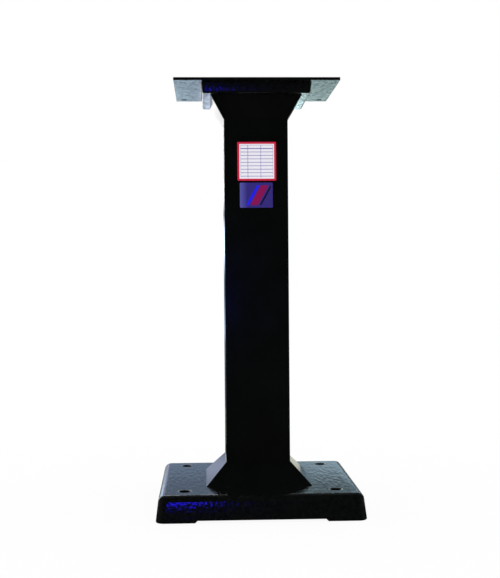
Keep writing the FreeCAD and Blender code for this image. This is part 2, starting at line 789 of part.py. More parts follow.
def export(pieces):
    """Check every object, then write each piece to its own STEP file."""
    doc.recompute()
    faults = [f"{item.Label} in {owner(item)}" for item in doc.Objects if not is_healthy(item)]
    if faults:
        raise RuntimeError("failed: " + ", ".join(faults))
    for piece in pieces:
        if piece.Shape.isNull() or not piece.Shape.isValid() or not piece.Shape.Solids:
            raise RuntimeError(f"{piece.Label} has no valid solid")
    os.makedirs(PARTS_FOLDER, exist_ok=True)
    for piece in pieces:
        piece.Shape.exportStep(os.path.join(PARTS_FOLDER, f"{piece.Label}.step"))
        box = piece.Shape.BoundBox
        print(
            f"{piece.Label:22} {len(piece.Shape.Solids)} solid  {piece.Shape.Volume / 1000:9.2f} cm3"
            f"  z {box.ZMin:7.2f} to {box.ZMax:7.2f}  x {box.XMin:7.2f} to {box.XMax:7.2f}"
        )


fill_sheet()
export([
    base_casting(),
    base_flat_washers(),
    base_spring_washers(),
    base_bolts(),
    column_foot_plate(),
    foot_weld_nuts(),
    foot_plate_welds(),
    column_panel("column_front_panel", 0),
    column_panel("column_right_panel", 1),
    column_panel("column_rear_panel", 2),
    column_panel("column_left_panel", 3),
    column_seam_welds(),
    column_head_plate(),
    head_plate_welds(),
    head_weld_nuts(),
    head_casting(),
    head_screws(),
    label("upper_label", "card_width", "card_width", "card_centre", "card_shift"),
    label("lower_label", "badge_width", "badge_height", "badge_centre"),
])
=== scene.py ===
"""Bench grinder stand: the finish of every surface, the small parts in full, the light and the camera."""

import math

import bmesh
import bpy
from bpy.props import FloatProperty, FloatVectorProperty, PointerProperty
from mathutils import Matrix, Vector


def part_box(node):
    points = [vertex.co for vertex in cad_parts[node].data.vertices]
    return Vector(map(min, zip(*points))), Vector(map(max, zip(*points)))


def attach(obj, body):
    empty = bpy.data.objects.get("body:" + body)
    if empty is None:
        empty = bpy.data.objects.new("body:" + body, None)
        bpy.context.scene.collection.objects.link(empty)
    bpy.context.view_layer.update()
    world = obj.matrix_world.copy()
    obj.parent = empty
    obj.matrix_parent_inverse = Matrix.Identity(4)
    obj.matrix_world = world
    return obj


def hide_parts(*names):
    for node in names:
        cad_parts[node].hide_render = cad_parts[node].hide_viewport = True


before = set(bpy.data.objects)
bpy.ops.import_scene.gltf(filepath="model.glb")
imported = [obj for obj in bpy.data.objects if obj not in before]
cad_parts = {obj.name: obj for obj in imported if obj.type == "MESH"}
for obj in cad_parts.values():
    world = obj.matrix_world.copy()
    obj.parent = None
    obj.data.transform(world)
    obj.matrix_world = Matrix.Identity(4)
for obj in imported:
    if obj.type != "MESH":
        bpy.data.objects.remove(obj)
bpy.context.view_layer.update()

bl_info = {
    "name": "Bench Grinder Stand",
    "version": (1, 0, 0),
    "blender": (4, 5, 0),
    "location": "3D View > Sidebar > Grinder Stand",
    "description": "Finishes the stand's castings, column, fasteners, welds and labels, and sets its stage",
    "category": "Object",
}

BODY = "root"
MM = 0.001
WHITE = (1, 1, 1, 1)
# How near a level counts as on it, and how much of its width a thread keeps at its point.
TOUCH = 0.01 * MM
POINT_SHARE = 0.82
COLUMN_NODES = (
    "column_front_panel",
    "column_right_panel",
    "column_rear_panel",
    "column_left_panel",
    "column_seam_welds",
)


# ---- shader helpers

def feed(tree, socket, value):
    """Give an input a plain value or another node's output."""
    if isinstance(value, bpy.types.NodeSocket):
        tree.links.new(value, socket)
    else:
        socket.default_value = value


def place(tree, kind, inputs=None, **settings):
    """Add a node with its settings and inputs."""
    made = tree.nodes.new(kind)
    for name, value in settings.items():
        setattr(made, name, value)
    for name, value in (inputs or {}).items():
        feed(tree, made.inputs[name], value)
    return made


def maths(tree, operation, *values):
    """Add a Math node and give its output."""
    return place(tree, "ShaderNodeMath", dict(enumerate(values)), operation=operation).outputs["Value"]


def times(tree, first, *others):
    """Multiply values."""
    for other in others:
        first = maths(tree, "MULTIPLY", first, other)
    return first


def within(tree, value, middle, half):
    """1 where a value lies no farther than half from the middle, else 0."""
    return maths(tree, "COMPARE", value, middle, half)


def mixed(tree, factor, first, second, blend="MIX"):
    """Mix two colours and give the output. The colours' sockets are found by their kind."""
    made = place(tree, "ShaderNodeMix", {"Factor": factor}, data_type="RGBA", blend_type=blend)
    ends = [socket for socket in made.inputs if socket.type == "RGBA"]
    for socket, value in zip(ends, (first, second)):
        feed(tree, socket, value)
    return next(socket for socket in made.outputs if socket.type == "RGBA")


def shade(colour, factors=(1, 1, 1)):
    """A colour for a socket, each part times its factor."""
    return (*(part * factor for part, factor in zip(colour, factors)), 1)


def axes_of(tree, vector):
    """Part a vector into X, Y and Z."""
    return place(tree, "ShaderNodeSeparateXYZ", {"Vector": vector}).outputs


def spread_to(tree, value, low, high, to_low=0.0, to_high=1.0):
    """Map a value from one range to another, held at both ends."""
    inputs = {"Value": value, "From Min": low, "From Max": high, "To Min": to_low, "To Max": to_high}
    return place(tree, "ShaderNodeMapRange", inputs, clamp=True).outputs["Result"]


def stepped(tree, value, stops):
    """Map a value to the colours of stops along it, evenly from one stop to the next."""
    ramp = place(tree, "ShaderNodeValToRGB", {"Fac": value})
    elements = ramp.color_ramp.elements
    for position, _ in stops[1:-1]:
        elements.new(position)
    for element, (position, colour) in zip(elements, stops):
        element.position = position
        element.color = colour
    return ramp.outputs["Color"]


def stretched(tree, coords, factors):
    """Multiply coordinates axis by axis, which draws a pattern out along an axis."""
    made = place(tree, "ShaderNodeVectorMath", {0: coords, 1: factors}, operation="MULTIPLY")
    return made.outputs["Vector"]


def noise(tree, coords, size, detail=2.0, rough=0.5):
    """Noise whose lumps are about the given size, in metres or as a group's input."""
    scale = maths(tree, "DIVIDE", 1.0, size) if isinstance(size, bpy.types.NodeSocket) else 1 / size
    inputs = {"Vector": coords, "Scale": scale, "Detail": detail, "Roughness": rough}
    return place(tree, "ShaderNodeTexNoise", inputs).outputs["Fac"]


def new_group(name, numbers, results):
    """Start a shader node group with a Vector, numbers with their defaults, and results."""
    tree = bpy.data.node_groups.new(name, "ShaderNodeTree")
    tree.interface.new_socket("Vector", in_out="INPUT", socket_type="NodeSocketVector")
    for title, default in numbers.items():
        number = tree.interface.new_socket(title, in_out="INPUT", socket_type="NodeSocketFloat")
        number.default_value = default
    for title in results:
        tree.interface.new_socket(title, in_out="OUTPUT", socket_type="NodeSocketFloat")
    return tree, tree.nodes.new("NodeGroupInput").outputs, tree.nodes.new("NodeGroupOutput").inputs


def use_group(tree, build, inputs):
    """Place a node group, which its function builds when it is first used."""
    group = bpy.data.node_groups.get(build.__name__) or build()
    return place(tree, "ShaderNodeGroup", inputs, node_tree=group).outputs


def new_material(name):
    """Start a material. Give it, its tree, its Principled BSDF's inputs and its object coordinates."""
    material = bpy.data.materials.new(name)
    material.use_nodes = True
    tree = material.node_tree
    surface = tree.nodes["Principled BSDF"].inputs
    coords = tree.nodes.new("ShaderNodeTexCoord").outputs["Object"]
    return material, tree, surface, coords


def new_metal(name):
    """Start a material of bare metal."""
    started = new_material(name)
    started[2]["Metallic"].default_value = 1.0
    return started


def dress(tree, surface, colour, roughness, height, distance=1.0):
    """Link a colour, a roughness and a height, which counts in the given distance in metres."""
    tree.links.new(colour, surface["Base Color"])
    tree.links.new(roughness, surface["Roughness"])
    made = place(tree, "ShaderNodeBump", {"Height": height, "Distance": distance, "Strength": 1.0})
    tree.links.new(made.outputs["Normal"], surface["Normal"])


def coat_node(name, material):
    """Give a CAD node its finish."""
    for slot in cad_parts[name].material_slots:
        slot.material = material


# ---- shared effects

def cast_grain():
    """Sand-cast skin: long swells, pebbles as large as the sand's clumps, grit, patches and ripples."""
    tree, given, out = new_group(
        "cast_grain", {"Pebble": 0.004, "Swell": 0.03, "Patch": 0.012}, ("Height", "Mottle", "Ripple"))
    coords = given["Vector"]
    pebble = place(tree, "ShaderNodeTexVoronoi", {
        "Vector": coords, "Scale": maths(tree, "DIVIDE", 1.0, given["Pebble"]), "Smoothness": 0.8},
        feature="SMOOTH_F1").outputs["Distance"]
    lumps = maths(tree, "SUBTRACT", 1.0, pebble)
    height = maths(tree, "MULTIPLY_ADD", noise(tree, coords, given["Swell"]), 1.2, lumps)
    height = maths(tree, "MULTIPLY_ADD", noise(tree, coords, given["Pebble"], 4.0, 0.6), 0.9, height)
    tree.links.new(height, out["Height"])
    patches = noise(tree, stretched(tree, coords, (1.0, 0.4, 1.0)), given["Patch"], 3.0, 0.6)
    tree.links.new(spread_to(tree, patches, 0.38, 0.62), out["Mottle"])
    ripple = noise(tree, stretched(tree, coords, (1.0, 0.3, 1.0)), given["Patch"], 1.0, 0.4)
    tree.links.new(ripple, out["Ripple"])
    return tree


def paint_film():
    """Sprayed paint: the orange peel of its skin, and a slow change of gloss."""
    tree, given, out = new_group("paint_film", {"Peel": 0.002}, ("Height", "Gloss"))
    tree.links.new(noise(tree, given["Vector"], given["Peel"], 1.0, 0.4), out["Height"])
    gloss = noise(tree, given["Vector"], 1 / 14, 3.0)
    tree.links.new(spread_to(tree, gloss, 0.3, 0.7), out["Gloss"])
    return tree


def edge_wear():
    """Where a finish is rubbed thin: along edges, in broken stretches."""
    tree, given, out = new_group("edge_wear", {"Width": 0.001, "Amount": 0.5}, ("Wear",))
    rounded = place(tree, "ShaderNodeBevel", {"Radius": given["Width"]}, samples=4).outputs["Normal"]
    plain = tree.nodes.new("ShaderNodeNewGeometry").outputs["Normal"]
    turned = place(tree, "ShaderNodeVectorMath", {0: rounded, 1: plain}, operation="DOT_PRODUCT")
    edge = spread_to(tree, turned.outputs["Value"], 0.995, 0.90)
    stretch = spread_to(tree, noise(tree, given["Vector"], 0.02), 0.45, 0.62)
    nick = spread_to(tree, noise(tree, given["Vector"], 0.0014, 3.0, 0.7), 0.35, 0.65)
    tree.links.new(times(tree, edge, stretch, nick, given["Amount"]), out["Wear"])
    return tree


def settled_dust():
    """Fine dust that lies on faces that look up, thicker in slow drifts."""
    tree, given, out = new_group("settled_dust", {"Amount": 0.5}, ("Dust",))
    normal = tree.nodes.new("ShaderNodeNewGeometry").outputs["Normal"]
    lies = spread_to(tree, axes_of(tree, normal)["Z"], 0.7, 0.98)
    drift = spread_to(tree, noise(tree, given["Vector"], 0.05, 3.0), 0.4, 0.7, 0.15, 1.0)
    speck = spread_to(tree, noise(tree, given["Vector"], 0.0009, 2.0, 0.7), 0.5, 0.68, 0.2, 1.0)
    tree.links.new(times(tree, lies, drift, speck, given["Amount"]), out["Dust"])
    return tree


# ---- settings

def tint(name, description, default):
    """A setting for a colour."""
    return FloatVectorProperty(
        name=name, description=description, default=default, subtype="COLOR", min=0, max=1)


def extent(name, description, default, least=0.0):
    """A setting for a length in metres."""
    return FloatProperty(name=name, description=description, default=default, unit="LENGTH", min=least)


def amount(name, description, default):
    """A setting from 0 to 1."""
    return FloatProperty(name=name, description=description, default=default, subtype="FACTOR", min=0, max=1)


def brightness(name, description, default):
    """A setting for a light's strength."""
    return FloatProperty(name=name, description=description, default=default, min=0)


def turn(name, description, default):
    """A setting for an angle."""
    return FloatProperty(name=name, description=description, default=default, subtype="ANGLE")


class PaintSettings(bpy.types.PropertyGroup):
    cast_colour: tint(
        "Casting paint", "Colour of the paint on the base and the head", (0.0016, 0.0019, 0.0018))
    sheet_colour: tint("Column paint", "Colour of the paint on the column", (0.0013, 0.0017, 0.0015))
    primer_colour: tint(
        "Thin paint", "Colour of the paint where it is rubbed thin on an edge", (0.012, 0.0115, 0.011))
    dust_colour: tint("Dust colour", "Colour of the dust that lies on the paint", (0.045, 0.048, 0.054))
    pebble_size: extent("Pebble size", "Width of the small lumps on a casting", 4.5 * MM, 0.0005)
    swell_size: extent("Swell size", "Width of the slow swells on a casting", 28 * MM, 0.002)
    patch_size: extent("Patch size", "Width of the duller patches on a casting", 7 * MM, 0.002)
    grain_height: extent("Grain height", "Height of a casting's lumps", 0.12 * MM)
    ripple_height: extent("Ripple height", "Height of the ripples on the base's level faces", 0.36 * MM)
    peel_size: extent("Orange peel", "Width of the ripples in the column's paint", 2.2 * MM, 0.0002)
    wear: amount("Edge wear", "How much the paint is rubbed along edges", 0.6)
    dust: amount("Dust", "How much dust lies on the paint", 0.04)


class MetalSettings(bpy.types.PropertyGroup):
    zinc_colour: tint("Zinc", "Colour of the zinc plate on bolts and washers", (0.62, 0.63, 0.64))
    scale_colour: tint("Mill scale", "Colour of the scale on bare plates and nuts", (0.15, 0.155, 0.17))
    steel_colour: tint("Bare steel", "Colour of bare or rubbed steel", (0.36, 0.35, 0.34))
    oxide_colour: tint("Black oxide", "Colour of the head screws", (0.03, 0.03, 0.033))


class FastenerSettings(bpy.types.PropertyGroup):
    bolt_pitch: extent("Bolt pitch", "Pitch of the column bolts' thread", 1.5 * MM, 0.0002)
    bolt_plain: extent("Plain shank", "Length of the bolts' shank without a thread", 14 * MM, 0.001)
    screw_pitch: extent("Screw pitch", "Pitch of the head screws' thread", 1.25 * MM, 0.0002)
    socket_flats: extent("Socket", "Width across the flats of the screws' socket", 5 * MM, 0.001)
    ripple: extent("Weld ripple", "Distance between the ripples of a weld bead", 2.5 * MM, 0.0005)


class LabelSettings(bpy.types.PropertyGroup):
    field_colour: tint("Card", "Colour of the upper label's field", (0.97, 0.94, 1.0))
    border_colour: tint("Border", "Colour of the upper label's border", (0.70, 0.0, 0.045))
    line_colour: tint("Rules", "Colour of the ruled lines on the upper label", (0.16, 0.13, 0.42))
    plate_colour: tint("Plate", "Colour of the lower label", (0.034, 0.022, 0.215))
    border_width: extent("Border width", "Width of the upper label's border", 3.8 * MM)
    line_pitch: extent("Line pitch", "Distance between the ruled lines", 6.6 * MM, 0.001)


class StageSettings(bpy.types.PropertyGroup):
    floor_half: extent("Floor", "Half the side of the floor", 6.0, 1.0)
    floor_colour: tint("Floor colour", "Colour of the floor", (0.93, 0.93, 0.93))
    floor_white: amount("Floor white", "Share of plain white in the floor next to the stand", 0.93)
    far_floor: brightness("Far floor", "Brightness of the floor behind, as the gloss shows it", 0.8)
    front_level: brightness("Front", "Brightness of the room in front, as the gloss shows it", 0.01)
    side_level: brightness("Sides", "Brightness of the room at the sides, as the gloss shows it", 0.06)
    roof_level: brightness("Roof", "Brightness of the soft light overhead, as the gloss shows it", 0.12)
    screen_level: brightness("Screen", "Brightness of the screen behind at its brightest", 2.0)
    screen_reach: extent("Screen distance", "How far behind the stand the screen is", 1.6, 0.5)
    room_level: brightness("Room light", "Brightness of the soft light from all round", 0.95)
    camera_place: FloatVectorProperty(
        name="Camera", description="Where the camera stands",
        default=(-0.0987, -2.1645, 0.4362), subtype="TRANSLATION", unit="LENGTH")
    camera_yaw: turn("Yaw", "Turn of the camera to the right", 0.0405)
    camera_pitch: turn("Pitch", "Tilt of the camera upwards", -0.008)
    camera_roll: turn("Roll", "Roll of the camera to the left", -0.0076)
    camera_lens: FloatProperty(
        name="Lens", description="Focal length on a sensor 36 mm high",
        default=68.51, subtype="DISTANCE_CAMERA")


# ---- finishes

def weathered(tree, coords, colour, worn, width, wear_amount, dust_amount):
    """Lay edge wear and dust over a colour. Give the colour, and the share of both that dulls the gloss."""
    wear = use_group(tree, edge_wear, {"Vector": coords, "Width": width, "Amount": wear_amount})["Wear"]
    dust = use_group(tree, settled_dust, {"Vector": coords, "Amount": dust_amount})["Dust"]
    colour = mixed(tree, wear, colour, shade(worn))
    colour = mixed(tree, dust, colour, shade(bpy.context.scene.stand_paint.dust_colour))
    return colour, maths(tree, "MAXIMUM", wear, dust)


def cast_paint(name, pebble, height, crown, dull, level_share=1.0, ripple=0.0, brow=None):
    """Semi-gloss black over a pebbled casting, whose sides fall away from one height to another.

    Level faces keep a share of the pebbles, may be rippled where the sand was scraped flat, and may
    fall away to the left and right from one distance to another.
    """
    settings = bpy.context.scene.stand_paint
    material, tree, surface, coords = new_material(name)
    grain = use_group(tree, cast_grain, {
        "Vector": coords, "Pebble": pebble, "Swell": settings.swell_size, "Patch": settings.patch_size})
    colour = settings.cast_colour
    paint = mixed(tree, grain["Mottle"], shade(colour), shade(colour, (2.2, 2.2, 2.2)))
    paint, used = weathered(
        tree, coords, paint, settings.primer_colour, 1.5 * MM, settings.wear, settings.dust)
    facing = tree.nodes.new("ShaderNodeNewGeometry").outputs["Normal"]
    steep = 0.15
    flat = spread_to(tree, maths(tree, "ABSOLUTE", axes_of(tree, facing)["Z"]), 0.6, 0.98, steep, 1.0)
    gloss = spread_to(tree, times(tree, grain["Mottle"], flat), 0, 1, 0.1, dull)
    start, end, depth = crown
    along = maths(tree, "DIVIDE", maths(tree, "SUBTRACT", axes_of(tree, coords)["Z"], start), end - start)
    fall = maths(tree, "POWER", maths(tree, "MAXIMUM", along, 0.0), 2.0)
    lumps = times(tree, grain["Height"], spread_to(tree, flat, steep, 1.0, height, height * level_share))
    raised = maths(tree, "MULTIPLY_ADD", fall, -depth, lumps)
    if ripple:
        waves = spread_to(tree, flat, steep, 1.0, 0.0, ripple)
        raised = maths(tree, "MULTIPLY_ADD", grain["Ripple"], waves, raised)
    if brow:
        start, end, depth = brow
        aside = maths(tree, "SUBTRACT", maths(tree, "ABSOLUTE", axes_of(tree, coords)["X"]), start)
        aside = maths(tree, "DIVIDE", maths(tree, "MAXIMUM", aside, 0.0), end - start)
        drop = times(tree, maths(tree, "POWER", aside, 2.0), flat)
        raised = maths(tree, "MULTIPLY_ADD", drop, -depth, raised)
    dress(tree, surface, paint, maths(tree, "MULTIPLY_ADD", used, 0.3, gloss), raised)
    return material


def sheet_paint():
    """Smooth semi-gloss black on sheet steel."""
    settings = bpy.context.scene.stand_paint
    material, tree, surface, coords = new_material("column_black_paint")
    film = use_group(tree, paint_film, {"Vector": coords, "Peel": settings.peel_size})
    colour = settings.sheet_colour
    paint = mixed(tree, film["Gloss"], shade(colour), shade(colour, (1.7, 1.7, 1.7)))
    paint, used = weathered(
        tree, coords, paint, settings.primer_colour, 0.8 * MM, settings.wear, 0.3 * settings.dust)
    gloss = spread_to(tree, film["Gloss"], 0, 1, 0.08, 0.12)
    rough = maths(tree, "MULTIPLY_ADD", used, 0.3, gloss)
    dress(tree, surface, paint, rough, film["Height"], 0.008 * MM)
    return material


def zinc_plate():
    """Bright zinc with a faint blue and straw bloom, fine scratches and dull spots."""
    settings = bpy.context.scene.stand_metals
    material, tree, surface, coords = new_metal("zinc_plate")
    bloom = spread_to(tree, noise(tree, coords, 0.006), 0.35, 0.65)
    zinc = settings.zinc_colour
    colour = mixed(tree, bloom, shade(zinc, (1.0, 0.95, 0.78)), shade(zinc, (0.86, 0.94, 1.0)))
    spots = spread_to(tree, noise(tree, coords, 0.0016, 4.0, 0.7), 0.60, 0.70)
    colour = mixed(tree, times(tree, spots, 0.7), colour, (0.30, 0.30, 0.29, 1))
    scratch = noise(tree, stretched(tree, coords, (1.0, 1.0, 0.12)), 0.0003, 3.0, 0.6)
    gloss = spread_to(tree, scratch, 0.3, 0.7, 0.2, 0.38)
    dress(tree, surface, colour, maths(tree, "MULTIPLY_ADD", spots, 0.3, gloss), scratch, 0.01 * MM)
    return material


# Heat colours of steel, by the distance from a weld.
HEAT_COLOURS = (
    (0.00, (0.10, 0.10, 0.11, 1)),
    (0.25, (0.08, 0.12, 0.26, 1)),
    (0.45, (0.20, 0.09, 0.20, 1)),
    (0.65, (0.34, 0.22, 0.09, 1)),
    (1.00, (0.30, 0.28, 0.25, 1)),
)


def mill_steel(name, weld_reach):
    """Blue-grey mill scale, rubbed in places, with heat colours inside the line of the welds."""
    settings = bpy.context.scene.stand_metals
    material, tree, surface, coords = new_metal(name)
    patch = spread_to(tree, noise(tree, coords, 0.022, 7.0, 0.6), 0.40, 0.72, 0.0, 0.8)
    colour = mixed(tree, patch, shade(settings.scale_colour), shade(settings.steel_colour))
    axes = axes_of(tree, coords)
    across, deep = (maths(tree, "ABSOLUTE", axes[axis]) for axis in "XY")
    inside = maths(tree, "SUBTRACT", weld_reach, maths(tree, "MAXIMUM", across, deep))
    waver = times(tree, maths(tree, "SUBTRACT", noise(tree, coords, 0.009), 0.5), 6 * MM)
    inside = maths(tree, "DIVIDE", maths(tree, "ADD", inside, waver), 16 * MM)
    near = spread_to(tree, inside, 0.7, 1.1, 0.75, 0.0)
    colour = mixed(tree, near, colour, stepped(tree, inside, HEAT_COLOURS))
    fine = noise(tree, coords, 0.0008, 3.0)
    rough = spread_to(tree, maths(tree, "ADD", fine, patch), 0.4, 1.5, 0.55, 0.3)
    dress(tree, surface, colour, rough, maths(tree, "MULTIPLY_ADD", patch, 0.5, fine), 0.03 * MM)
    return material


def weld_metal():
    """Bare weld metal: silver on the crowns, brown and blue between them, with a little soot."""
    settings = bpy.context.scene.stand_metals
    material, tree, surface, coords = new_metal("weld_metal")
    stain = noise(tree, coords, 0.004, 3.0)
    bright = shade(settings.steel_colour)
    colour = mixed(tree, spread_to(tree, stain, 0.35, 0.55), (0.13, 0.085, 0.06, 1), bright)
    colour = mixed(tree, spread_to(tree, stain, 0.56, 0.68, 0.0, 0.8), colour, (0.10, 0.13, 0.22, 1))
    pits = noise(tree, coords, 0.0006, 4.0, 0.7)
    dress(tree, surface, colour, spread_to(tree, pits, 0.3, 0.7, 0.28, 0.5), pits, 0.05 * MM)
    return material


def black_oxide():
    """Oiled black oxide, rubbed bright along the edges."""
    settings = bpy.context.scene.stand_metals
    material, tree, surface, coords = new_metal("black_oxide")
    oxide = settings.oxide_colour
    cloud = noise(tree, coords, 0.003, 3.0)
    colour = mixed(tree, spread_to(tree, cloud, 0.4, 0.65), shade(oxide), shade(oxide, (1.5, 1.2, 1.0)))
    colour, used = weathered(tree, coords, colour, settings.steel_colour, 0.4 * MM, 1.0, 0.3)
    gloss = spread_to(tree, cloud, 0.3, 0.7, 0.26, 0.42)
    rough = maths(tree, "MULTIPLY_ADD", used, 0.1, gloss)
    dress(tree, surface, colour, rough, noise(tree, coords, 0.0005), 0.01 * MM)
    return material


def label_place(tree, coords, name):
    """Give the place on a label from its middle, to the right and up, and half its size."""
    low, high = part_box(name)
    axes = axes_of(tree, coords)
    across = maths(tree, "SUBTRACT", axes["X"], (low[0] + high[0]) / 2)
    up = maths(tree, "SUBTRACT", axes["Z"], (low[2] + high[2]) / 2)
    return across, up, (high[0] - low[0]) / 2, (high[2] - low[2]) / 2


def print_film(tree, surface, coords, colour, glossiest, dullest):
    """Finish a label: its colour, the change of its gloss and its skin."""
    film = use_group(tree, paint_film, {"Vector": coords, "Peel": 3 * MM})
    rough = spread_to(tree, film["Gloss"], 0, 1, glossiest, dullest)
    dress(tree, surface, colour, rough, film["Height"], 0.004 * MM)


def framed(tree, across, up, half_wide, half_high):
    """1 inside a rectangle round a label's middle, else 0."""
    return times(tree, within(tree, across, 0, half_wide), within(tree, up, 0, half_high))


def card_print(settings):
    """White film with a red border, ruled as a blank record card."""
    material, tree, surface, coords = new_material("card_print")
    across, up, half_wide, half_high = label_place(tree, coords, "upper_label")
    margin = settings.border_width
    field = framed(tree, across, up, half_wide - margin, half_high - margin)
    pitch = settings.line_pitch
    inset = 2.2 * MM
    ruled_wide = half_wide - margin - inset
    ruled_high = half_high - margin - inset
    ruled = framed(tree, across, up, ruled_wide, ruled_high)
    step = maths(tree, "PINGPONG", maths(tree, "SUBTRACT", up, ruled_high), pitch / 2)
    rows = maths(tree, "LESS_THAN", step, 0.55 * MM)
    heading = within(tree, up, ruled_high - pitch, 0.9 * MM)
    columns = 0
    for share in (-1, -0.55, 0.25, 1):
        columns = maths(tree, "MAXIMUM", columns, within(tree, across, share * ruled_wide, 0.45 * MM))
    lines = maths(tree, "MAXIMUM", maths(tree, "MAXIMUM", rows, heading), columns)
    ink = spread_to(tree, noise(tree, coords, 0.0012, 3.0), 0.25, 0.55, 0.75, 1.0)
    lines = times(tree, lines, ruled, ink)
    colour = mixed(tree, lines, shade(settings.field_colour), shade(settings.line_colour))
    colour = mixed(tree, field, shade(settings.border_colour), colour)
    print_film(tree, surface, coords, colour, 0.28, 0.4)
    return material


def badge_print(settings):
    """Glossy slate blue film with plain slanted bands, and a painted highlight of glare along its left edge.
    """
    material, tree, surface, coords = new_material("badge_print")
    across, up, half_wide, half_high = label_place(tree, coords, "lower_label")
    # Painted highlight: the plate is lighter and bluer towards its left edge, where glare falls.
    glare_highlight = spread_to(tree, across, -half_wide, -0.55 * half_wide, 1.0, 0.0)
    colour = mixed(tree, glare_highlight, shade(settings.plate_colour), (0.10, 0.10, 0.42, 1))
    slant = maths(tree, "MULTIPLY_ADD", up, -0.55, across)
    bands = (
        (6 * MM, 7.5 * MM, (0.27, 0.0, 0.09, 1)),
        (-6.5 * MM, 2.6 * MM, (0.008, 0.004, 0.95, 1)),
        (18.5 * MM, 1.6 * MM, (0.006, 0.005, 0.012, 1)),
    )
    inner = framed(tree, across, up, half_wide - 4 * MM, half_high - 5 * MM)
    for middle, half, paint in bands:
        colour = mixed(tree, times(tree, inner, within(tree, slant, middle, half)), colour, paint)
    print_film(tree, surface, coords, colour, 0.2, 0.32)
    return material


# ---- modelling

def select_only(piece):
    """Select one object and nothing else, and make it the active one."""
    bpy.ops.object.select_all(action="DESELECT")
    piece.select_set(True)
    bpy.context.view_layer.objects.active = piece


def open_mesh(piece):
    """Open a piece in edit mode with nothing selected, and give its mesh."""
    select_only(piece)
    bpy.ops.object.mode_set(mode="EDIT")
    bpy.ops.mesh.select_mode(type="VERT")
    bpy.ops.mesh.select_all(action="DESELECT")
    return bmesh.from_edit_mesh(piece.data)


def merge_doubles():
    """Select the whole open mesh and merge the points that meet."""
    bpy.ops.mesh.select_all(action="SELECT")
    bpy.ops.mesh.remove_doubles(threshold=0.002 * MM)


def cut_at(point, normal, **sides):
    """Cut the whole open mesh at a plane. Say which side of it goes."""
    bpy.ops.mesh.select_all(action="SELECT")
    bpy.ops.mesh.bisect(plane_co=point, plane_no=normal, **sides)


def close_mesh():
    """Merge doubles, turn all faces outwards and leave edit mode."""
    merge_doubles()
    bpy.ops.mesh.normals_make_consistent(inside=False)
    bpy.ops.object.mode_set(mode="OBJECT")


def choose(mesh, kind, test):
    """Select the faces, edges or vertices that pass a test, and nothing else."""
    bpy.ops.mesh.select_mode(type={"verts": "VERT", "edges": "EDGE", "faces": "FACE"}[kind])
    for item in getattr(mesh, kind):
        item.select_set(test(item))
    mesh.select_flush_mode()


def newest(name):
    """Name the primitive just added, and put its place, turn and size into its mesh."""
    piece = bpy.context.object
    piece.name = name
    bpy.ops.object.transform_apply(location=True, rotation=True, scale=True)
    return piece


def modify(piece, kind, **settings):
    """Add a modifier with its settings, and apply it."""
    change = piece.modifiers.new(kind.lower(), kind)
    for name, value in settings.items():
        setattr(change, name, value)
    bpy.context.view_layer.objects.active = piece
    bpy.ops.object.modifier_apply(modifier=change.name)


def combine(piece, tool, operation):
    """Join, cut or trim a piece with a tool, which is used up."""
    modify(piece, "BOOLEAN", operation=operation, solver="EXACT", object=tool)
    bpy.data.objects.remove(tool)


def round_bar(name, centre, low, high, radius, top_radius=None, sides=64):
    """An upright bar with a corner towards +X, or a cone where the radius at the top differs."""
    bpy.ops.object.select_all(action="DESELECT")
    bpy.ops.mesh.primitive_cone_add(
        vertices=sides, radius1=radius, radius2=radius if top_radius is None else top_radius,
        depth=high - low, location=(*centre, (low + high) / 2), rotation=(0, 0, math.pi / 2))
    return newest(name)


def hexagon(name, centre, flats, low, high, chamfer_end):
    """A hexagon bar whose corners are turned off at 30 degrees at its low or its high end."""
    bar = round_bar(name, centre, low, high, flats / math.sqrt(3), sides=6)
    face = 0.475 * flats
    past = MM
    wide = face + (high - low + past) / math.tan(math.radians(30))
    if chamfer_end == "low":
        cone = round_bar("chamfer", centre, low, high + past, face, wide, sides=96)
    else:
        cone = round_bar("chamfer", centre, low - past, high, wide, face, sides=96)
    combine(bar, cone, "INTERSECT")
    return bar


def threaded_bar(name, centre, low, high, radius, pitch):
    """A threaded bar: one pitch of its profile, wound up by a Screw modifier and cut flat at both ends."""
    depth = 0.61 * pitch
    bpy.ops.object.select_all(action="DESELECT")
    bpy.ops.mesh.primitive_plane_add(size=MM)
    bar = newest(name)
    open_mesh(bar)
    bpy.ops.mesh.select_all(action="SELECT")
    bpy.ops.mesh.merge(type="CENTER")
    bpy.ops.transform.translate(value=(radius - depth, 0, low - 1.5 * pitch))
    for across, up in ((0, 0.25), (depth, 0.3125), (0, 0.125), (-depth, 0.3125)):
        bpy.ops.mesh.extrude_vertices_move(TRANSFORM_OT_translate={"value": (across, 0, up * pitch)})
    bpy.ops.object.mode_set(mode="OBJECT")
    modify(
        bar, "SCREW", axis="Z", angle=2 * math.pi, screw_offset=pitch,
        iterations=math.ceil((high - low) / pitch) + 3, steps=28, render_steps=28, use_smooth_shade=False)
    open_mesh(bar)
    merge_doubles()
    fine = 0.001 * MM
    cut_at((0, 0, low), (0, 0, 1), clear_inner=True, threshold=fine)
    cut_at((0, 0, high), (0, 0, 1), clear_outer=True, threshold=fine)
    bpy.ops.mesh.select_all(action="SELECT")
    bpy.ops.mesh.fill_holes(sides=0)
    bpy.ops.mesh.select_all(action="SELECT")
    bpy.ops.transform.translate(value=(*centre, 0))
    close_mesh()
    return bar


def taper_end(piece, centre, level, reach, share):
    """Draw in the points of a bar's end, those within reach of a level."""
    choose(open_mesh(piece), "verts", lambda point: abs(point.co.z - level) < reach)
    bpy.ops.transform.resize(value=(share, share, 1), center_override=(*centre, level))
    close_mesh()


